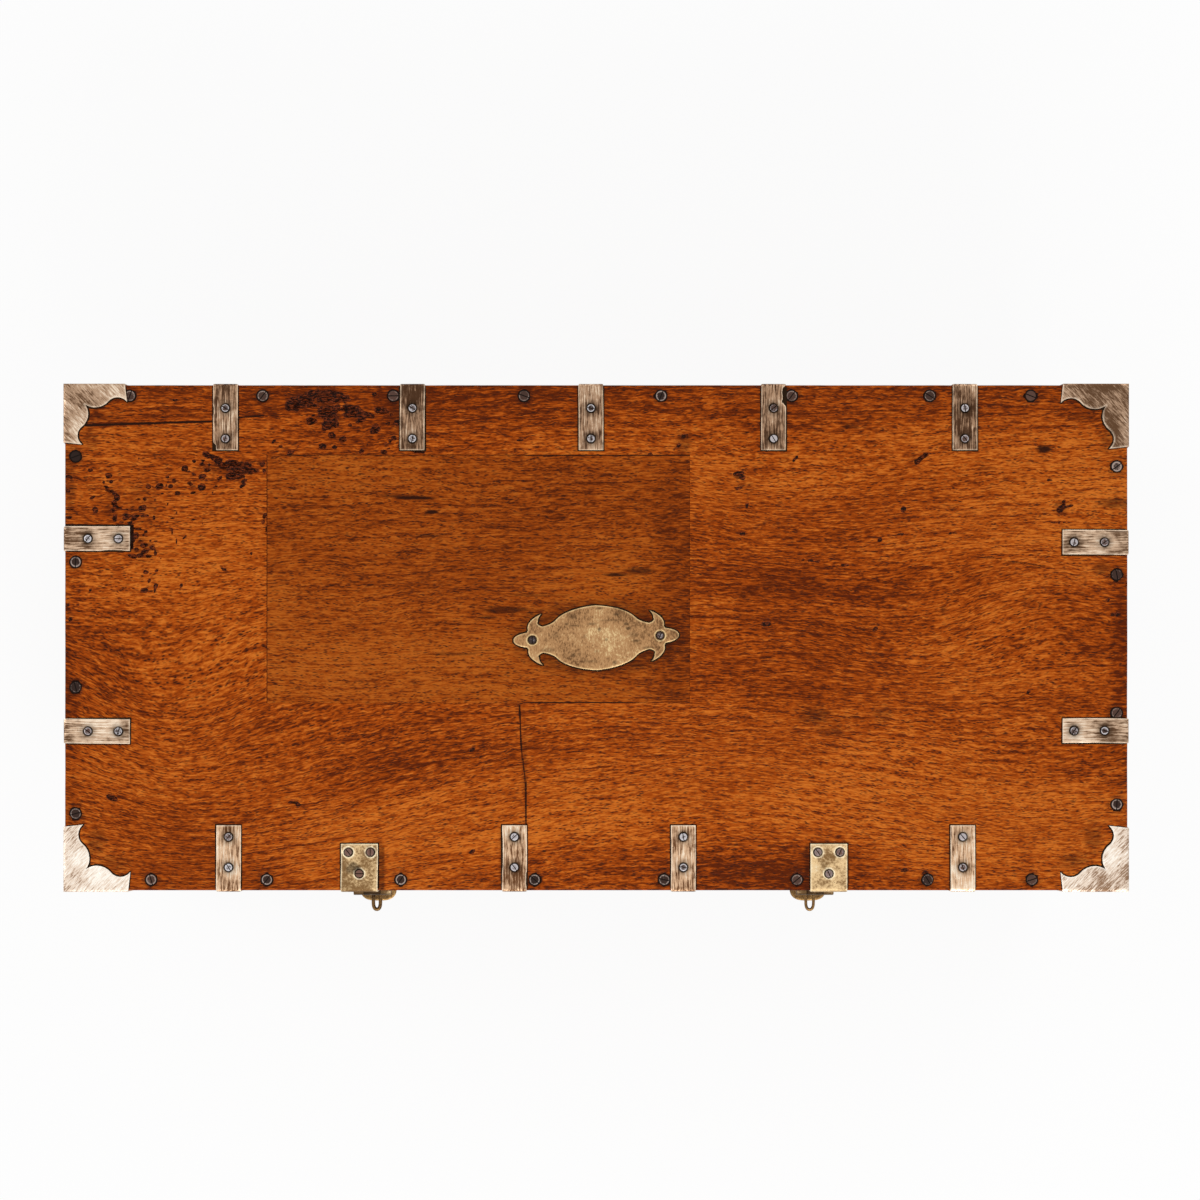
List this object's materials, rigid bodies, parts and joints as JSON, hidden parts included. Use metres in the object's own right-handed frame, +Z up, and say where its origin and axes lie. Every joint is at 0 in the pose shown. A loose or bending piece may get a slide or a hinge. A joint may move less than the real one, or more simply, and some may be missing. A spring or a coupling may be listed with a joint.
{
  "type": "damchiya chest",
  "caption": "Long teak storage chest bound with brass straps and corners, with a lift-up lid, two hasps over wire eyes, drop handles on its ends and bracket feet.",
  "frame": {"origin": "on the floor, under the middle of the chest with its eyes and hinges", "axes": "+X along the chest's length to its right end, -Y out of its front, where the hasps are, +Z up"},
  "size_m": [1.138, 0.569, 0.5218],
  "materials": {
    "lid_teak": "semi-gloss polish over warm red-brown teak",
    "inset_teak": "semi-gloss polish, a little darker",
    "case_teak": "semi-gloss polish over warm red-brown teak",
    "base_teak": "semi-gloss polish, darker",
    "floor_wood": "bare, dry",
    "strap_brass": "aged, brushed, tarnished",
    "hasp_brass": "aged, darker, tarnished",
    "handle_brass": "aged, polished by hands",
    "dark_steel": "browned, worn slots",
    "bright_steel": "worn bright"
  },
  "bodies": {
    "chest": {"front_board": "case_teak", "back_board": "case_teak", "left_end_board": "case_teak", "right_end_board": "case_teak", "floor_planks": "floor_wood", "base_moulding_front": "base_teak", "base_moulding_left": "base_teak", "base_moulding_right": "base_teak", "foot_front_left": "base_teak", "foot_front_right": "base_teak", "foot_back_left": "base_teak", "foot_back_right": "base_teak", "chest_corner_front_left": "strap_brass", "chest_corner_front_right": "strap_brass", "chest_corner_back_left": "strap_brass", "chest_corner_back_right": "strap_brass", "left_eye": "hasp_brass", "right_eye": "hasp_brass", "eye_plates": "strap_brass", "left_handle_plate": "handle_brass", "right_handle_plate": "handle_brass", "left_hinge_lower_leaf": "hasp_brass", "right_hinge_lower_leaf": "hasp_brass", "chest_screws": "bright_steel"},
    "lid": {"lid_top_board": "lid_teak", "lid_inset_panel": "inset_teak", "lid_rim_front": "lid_teak", "lid_rim_back": "lid_teak", "lid_rim_left": "lid_teak", "lid_rim_right": "lid_teak", "lid_corner_front_left": "strap_brass", "lid_corner_front_right": "strap_brass", "lid_corner_back_left": "strap_brass", "lid_corner_back_right": "strap_brass", "lid_strap_back_1": "strap_brass", "lid_strap_back_2": "strap_brass", "lid_strap_back_3": "strap_brass", "lid_strap_back_4": "strap_brass", "lid_strap_back_5": "strap_brass", "lid_strap_front_1": "strap_brass", "lid_strap_front_2": "strap_brass", "lid_strap_front_3": "strap_brass", "lid_strap_front_4": "strap_brass", "lid_strap_left_1": "strap_brass", "lid_strap_left_2": "strap_brass", "lid_strap_right_1": "strap_brass", "lid_strap_right_2": "strap_brass", "lid_centre_plate": "strap_brass", "left_hasp_plate": "hasp_brass", "right_hasp_plate": "hasp_brass", "left_hinge_upper_leaf": "hasp_brass", "right_hinge_upper_leaf": "hasp_brass", "hinge_pins": "dark_steel", "hasp_pins": "dark_steel", "lid_edge_screws": "dark_steel", "lid_fitting_screws": "bright_steel"},
    "left_tongue": {"left_hasp_tongue": "hasp_brass"},
    "right_tongue": {"right_hasp_tongue": "hasp_brass"},
    "left_handle": {"left_bail": "handle_brass"},
    "right_handle": {"right_bail": "handle_brass"}
  },
  "joints": [
    {"name": "lid_hinge", "type": "hinge", "parent": "chest", "child": "lid", "pos_m": [0, 0.27865, 0.408], "axis": [-1, 0, 0], "range_deg": [0, 100]},
    {"name": "left_hasp_pivot", "type": "hinge", "parent": "lid", "child": "left_tongue", "pos_m": [-0.2403, -0.25705, 0.416], "axis": [-1, 0, 0], "range_deg": [0, 165]},
    {"name": "right_hasp_pivot", "type": "hinge", "parent": "lid", "child": "right_tongue", "pos_m": [0.2359, -0.25705, 0.416], "axis": [-1, 0, 0], "range_deg": [0, 165]},
    {"name": "left_bail_pivot", "type": "hinge", "parent": "chest", "child": "left_handle", "pos_m": [-0.562, 0.01085, 0.335], "axis": [0, 1, 0], "range_deg": [-4, 180]},
    {"name": "right_bail_pivot", "type": "hinge", "parent": "chest", "child": "right_handle", "pos_m": [0.562, 0.01085, 0.335], "axis": [0, -1, 0], "range_deg": [-4, 180]}
  ]
}
